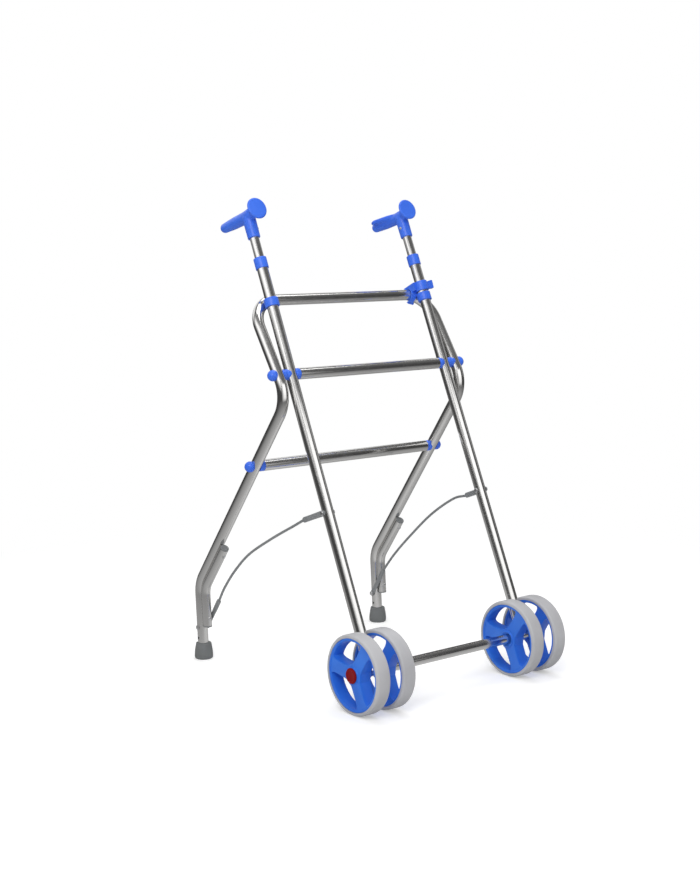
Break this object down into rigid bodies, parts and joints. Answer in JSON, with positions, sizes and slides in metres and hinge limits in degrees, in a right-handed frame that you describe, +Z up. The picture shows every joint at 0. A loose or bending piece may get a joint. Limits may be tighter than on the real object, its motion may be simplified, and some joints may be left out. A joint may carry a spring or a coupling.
{
  "type": "walking frame",
  "caption": "Folding wheeled walking frame of bright aluminium tube, with blue grips and fittings, paired front wheels and grey rubber rear feet",
  "frame": {"origin": "Middle of the overall box at floor level", "axes": "+Z is up. The wheels point to -Y and the user stands at +Y, facing -Y. +X is the user's left side."},
  "size_m": [0.5062, 0.5892, 0.9371],
  "materials": {
    "bright_aluminium": "polished, bright anodised",
    "blue_plastic": "moulded, semi-gloss",
    "light_grey_tyre": "smooth matt rubber",
    "red_plastic": "moulded, semi-gloss",
    "grey_rubber": "matt",
    "grey_plastic": "matt",
    "zinc_steel": "zinc plated"
  },
  "bodies": {
    "front_frame": {"front_tube_left": "bright_aluminium", "front_tube_right": "bright_aluminium", "middle_bar": "bright_aluminium", "middle_saddle_left": "blue_plastic", "middle_saddle_right": "blue_plastic", "pivot_washer_front_left": "blue_plastic", "pivot_washer_front_right": "blue_plastic", "pivot_bolt_left": "zinc_steel", "pivot_bolt_right": "zinc_steel", "axle_tube": "bright_aluminium", "hub_cap_left": "red_plastic", "hub_cap_right": "red_plastic", "rest_collar_left": "blue_plastic", "rest_collar_right": "blue_plastic", "cable_sleeve_front_left": "grey_plastic", "cable_sleeve_front_right": "grey_plastic", "cable_rivet_front_left": "zinc_steel", "cable_rivet_front_right": "zinc_steel", "cable_left": "grey_plastic", "cable_right": "grey_plastic"},
    "rear_frame": {"rear_frame": "bright_aluminium", "stiffener_left": "bright_aluminium", "stiffener_right": "bright_aluminium", "stiffener_plug_top_left": "grey_plastic", "stiffener_plug_top_right": "grey_plastic", "stiffener_plug_bottom_left": "grey_plastic", "stiffener_plug_bottom_right": "grey_plastic", "foot_left": "grey_rubber", "foot_right": "grey_rubber", "lower_bar": "bright_aluminium", "lower_saddle_left": "blue_plastic", "lower_saddle_right": "blue_plastic", "lower_cap_left": "blue_plastic", "lower_cap_right": "blue_plastic", "lower_bolt_left": "zinc_steel", "lower_bolt_right": "zinc_steel", "pivot_cap_left": "blue_plastic", "pivot_cap_right": "blue_plastic", "pivot_washer_rear_left": "blue_plastic", "pivot_washer_rear_right": "blue_plastic", "cable_sleeve_rear_left": "grey_plastic", "cable_sleeve_rear_right": "grey_plastic", "cable_rivet_rear_left": "zinc_steel", "cable_rivet_rear_right": "zinc_steel"},
    "wheel_outer_left": {"wheel_hub_outer_left": "blue_plastic", "tyre_outer_left": "light_grey_tyre"},
    "wheel_inner_left": {"wheel_hub_inner_left": "blue_plastic", "tyre_inner_left": "light_grey_tyre"},
    "wheel_outer_right": {"wheel_hub_outer_right": "blue_plastic", "tyre_outer_right": "light_grey_tyre"},
    "wheel_inner_right": {"wheel_hub_inner_right": "blue_plastic", "tyre_inner_right": "light_grey_tyre"},
    "handle_left": {"handle_tube_left": "bright_aluminium", "handle_grip_left": "blue_plastic"},
    "handle_right": {"handle_tube_right": "bright_aluminium", "handle_grip_right": "blue_plastic"},
    "collar_left": {"height_collar_left": "blue_plastic"},
    "collar_right": {"height_collar_right": "blue_plastic"},
    "latch": {"latch_clip": "blue_plastic"}
  },
  "joints": [
    {"name": "fold", "type": "hinge", "parent": "front_frame", "child": "rear_frame", "pos_m": [0, 0.01553, 0.60303], "axis": [-1, 0, 0], "range_deg": [0, 39], "deforming": ["cable_left", "cable_right"]},
    {"name": "spin_outer_left", "type": "hinge", "parent": "front_frame", "child": "wheel_outer_left", "pos_m": [0.2254, -0.21956, 0.075], "axis": [1, 0, 0], "continuous": true},
    {"name": "spin_inner_left", "type": "hinge", "parent": "front_frame", "child": "wheel_inner_left", "pos_m": [0.1656, -0.21956, 0.075], "axis": [1, 0, 0], "continuous": true},
    {"name": "spin_outer_right", "type": "hinge", "parent": "front_frame", "child": "wheel_outer_right", "pos_m": [-0.2254, -0.21956, 0.075], "axis": [1, 0, 0], "continuous": true},
    {"name": "spin_inner_right", "type": "hinge", "parent": "front_frame", "child": "wheel_inner_right", "pos_m": [-0.1656, -0.21956, 0.075], "axis": [1, 0, 0], "continuous": true},
    {"name": "handle_slide_left", "type": "slide", "parent": "front_frame", "child": "handle_left", "axis": [0, 0.4067, 0.9135], "range_m": [-0.038, 0.09]},
    {"name": "handle_slide_right", "type": "slide", "parent": "front_frame", "child": "handle_right", "axis": [0, 0.4067, 0.9135], "range_m": [-0.038, 0.09]},
    {"name": "collar_twist_left", "type": "hinge", "parent": "front_frame", "child": "collar_left", "pos_m": [0.1955, 0.10815, 0.81104], "axis": [0, 0.4067, 0.9135], "range_deg": [0, 90]},
    {"name": "collar_twist_right", "type": "hinge", "parent": "front_frame", "child": "collar_right", "pos_m": [-0.1955, 0.10815, 0.81104], "axis": [0, 0.4067, 0.9135], "range_deg": [0, 90]},
    {"name": "latch_turn", "type": "hinge", "parent": "front_frame", "child": "latch", "pos_m": [0.1955, 0.08427, 0.75742], "axis": [0, 0.4067, 0.9135], "range_deg": [0, 70]}
  ]
}
